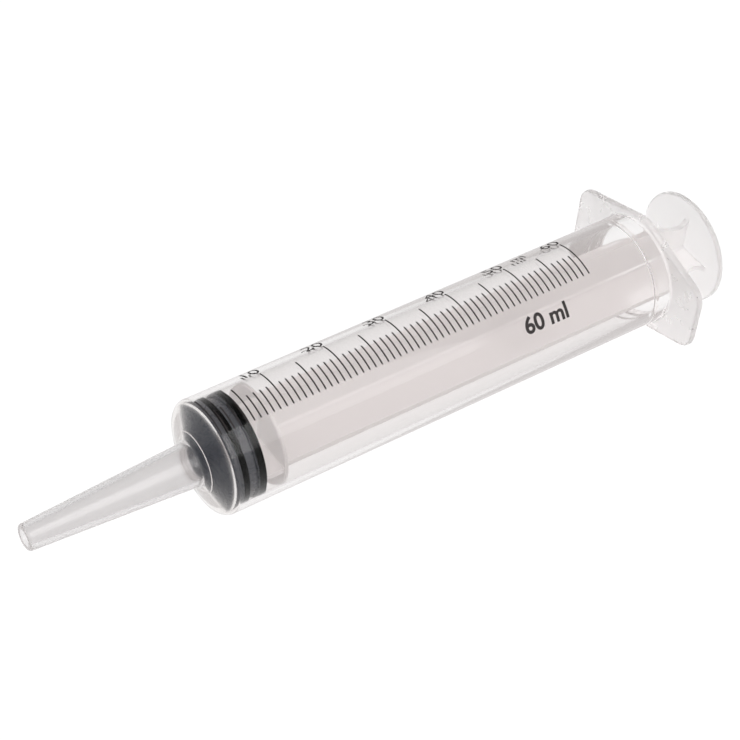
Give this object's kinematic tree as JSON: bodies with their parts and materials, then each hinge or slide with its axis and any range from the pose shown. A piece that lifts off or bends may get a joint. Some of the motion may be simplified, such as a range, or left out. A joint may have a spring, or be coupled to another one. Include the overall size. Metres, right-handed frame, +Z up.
{
  "type": "catheter tip syringe",
  "caption": "Clear feeding and irrigation syringe with a long tapered catheter tip, lozenge finger flange, ribbed plunger rod and black rubber stopper.",
  "frame": {"origin": "centre of the footprint box, on the table that the syringe lies on", "axes": "+X from the nozzle to the thumb rest, +Z up; the syringe's own axis rises towards the thumb rest by the small angle at which the flange and the front shoulder both touch the table"},
  "size_m": [0.1948, 0.0498, 0.0322],
  "materials": {
    "barrel": "clear moulded polypropylene, smooth, with a printed scale",
    "stopper": "smooth siliconed black rubber",
    "plunger_rod": "natural translucent polypropylene, satin"
  },
  "bodies": {
    "barrel": {"barrel": "barrel"},
    "stopper": {"stopper": "stopper"},
    "plunger_rod": {"plunger_rod": "plunger_rod"}
  },
  "joints": [
    {"name": "plunger_slide", "type": "slide", "parent": "barrel", "child": "stopper", "axis": [0.9999, 0, 0.0108], "range_m": [0, 0.116]},
    {"name": "rod_turn", "type": "hinge", "parent": "stopper", "child": "plunger_rod", "pos_m": [0.09724, 0, 0.01628], "axis": [0.9999, 0, 0.0108], "continuous": true}
  ]
}
